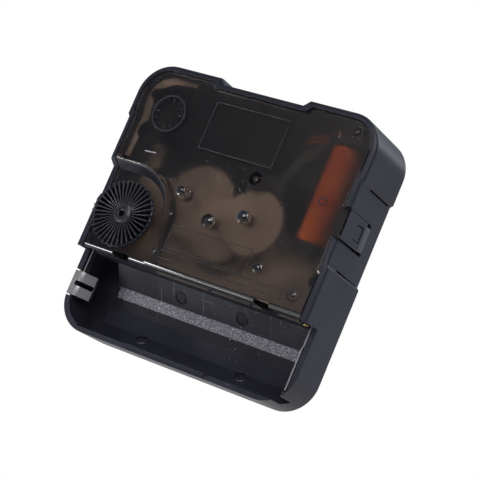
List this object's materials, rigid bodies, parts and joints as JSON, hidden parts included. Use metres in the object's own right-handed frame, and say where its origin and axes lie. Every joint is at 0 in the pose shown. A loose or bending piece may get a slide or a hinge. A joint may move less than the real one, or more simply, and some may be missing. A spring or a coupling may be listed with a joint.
{
  "type": "quartz clock movement",
  "caption": "Square quartz clock movement with smoked rear cover, side setting knob, one open AA cell bay, threaded centre bush and three concentric hand shafts.",
  "frame": {"origin": "where the hand-shaft axis crosses the dial seat, the flat front face of the case", "axes": "+Z towards twelve o'clock, -Y out along the hand shafts, +Y towards the smoked rear cover, the battery bay at the low end of Z"},
  "size_m": [0.056, 0.0283, 0.056],
  "materials": {
    "case_plastic": "moulded black, satin",
    "knob_plastic": "moulded black, satin",
    "smoked_plastic": "smoked brown-black, see-through, glossy",
    "natural_plastic": "moulded beige",
    "white_plastic": "moulded off-white",
    "board": "dark solder mask",
    "epoxy": "black potting drop",
    "nickel": "nickel-plated strip",
    "steel": "bright drawn",
    "brass": "turned",
    "iron": "dull soft iron",
    "ferrite": "bonded magnet",
    "copper_winding": "enamelled copper wire, wound smooth"
  },
  "bodies": {
    "movement": {"front_case": "case_plastic", "threaded_bush": "brass", "middle_plate": "natural_plastic", "rear_cover": "smoked_plastic", "circuit_board": "board", "chip_blob": "epoxy", "crystal_can": "nickel", "crystal_lead_1": "nickel", "crystal_lead_2": "nickel", "coil_core": "iron", "coil_bobbin": "case_plastic", "coil_winding": "copper_winding", "coil_terminal_1": "nickel", "coil_terminal_2": "nickel", "coil_lead_1": "copper_winding", "coil_lead_2": "copper_winding", "stator_plate": "iron", "negative_contact": "nickel", "positive_contact": "nickel"},
    "rotor": {"rotor_magnet": "ferrite", "rotor_pinion": "white_plastic"},
    "intermediate": {"intermediate_wheel": "natural_plastic"},
    "second": {"second_wheel": "natural_plastic", "second_arbor": "steel"},
    "third": {"third_wheel": "natural_plastic"},
    "centre": {"centre_wheel": "natural_plastic", "clutch_spring": "steel"},
    "minute": {"minute_cannon": "white_plastic"},
    "motion": {"motion_wheel": "white_plastic"},
    "hour": {"hour_wheel": "white_plastic"},
    "knob": {"setting_knob": "knob_plastic", "setting_arbor": "white_plastic"}
  },
  "joints": [
    {"name": "intermediate_spin", "type": "hinge", "parent": "movement", "child": "intermediate", "pos_m": [-0.0071, 0.0107, 0.0028], "axis": [0, 1, 0], "continuous": true},
    {"name": "rotor_spin", "type": "hinge", "parent": "movement", "child": "rotor", "pos_m": [-0.00579, 0.0087, 0.01061], "axis": [0, 1, 0], "continuous": true},
    {"name": "second_spin", "type": "hinge", "parent": "movement", "child": "second", "pos_m": [0, 0.009, 0], "axis": [0, 1, 0], "continuous": true},
    {"name": "third_spin", "type": "hinge", "parent": "movement", "child": "third", "pos_m": [0.0078, 0.0079, 0.004], "axis": [0, 1, 0], "continuous": true},
    {"name": "centre_spin", "type": "hinge", "parent": "movement", "child": "centre", "pos_m": [0, 0.0066, 0], "axis": [0, 1, 0], "continuous": true},
    {"name": "knob_spin", "type": "hinge", "parent": "movement", "child": "knob", "pos_m": [0.02, 0.0138, -0.0036], "axis": [0, 1, 0], "continuous": true},
    {"name": "motion_spin", "type": "hinge", "parent": "movement", "child": "motion", "pos_m": [0.00957, 0.0039, -0.00081], "axis": [0, 1, 0], "continuous": true},
    {"name": "minute_spin", "type": "hinge", "parent": "movement", "child": "minute", "pos_m": [0, 0.004, 0], "axis": [0, 1, 0], "continuous": true},
    {"name": "hour_spin", "type": "hinge", "parent": "movement", "child": "hour", "pos_m": [0, 0.0027, 0], "axis": [0, 1, 0], "continuous": true}
  ],
  "couplings": [
    {"joint": "rotor_spin", "follows": "intermediate_spin", "ratio": -5},
    {"joint": "second_spin", "follows": "intermediate_spin", "ratio": -0.16667},
    {"joint": "third_spin", "follows": "intermediate_spin", "ratio": 0.022222},
    {"joint": "centre_spin", "follows": "intermediate_spin", "ratio": -0.0027778},
    {"joint": "motion_spin", "follows": "knob_spin", "ratio": -0.5},
    {"joint": "minute_spin", "follows": "knob_spin", "ratio": 1.5},
    {"joint": "hour_spin", "follows": "knob_spin", "ratio": 0.125}
  ]
}
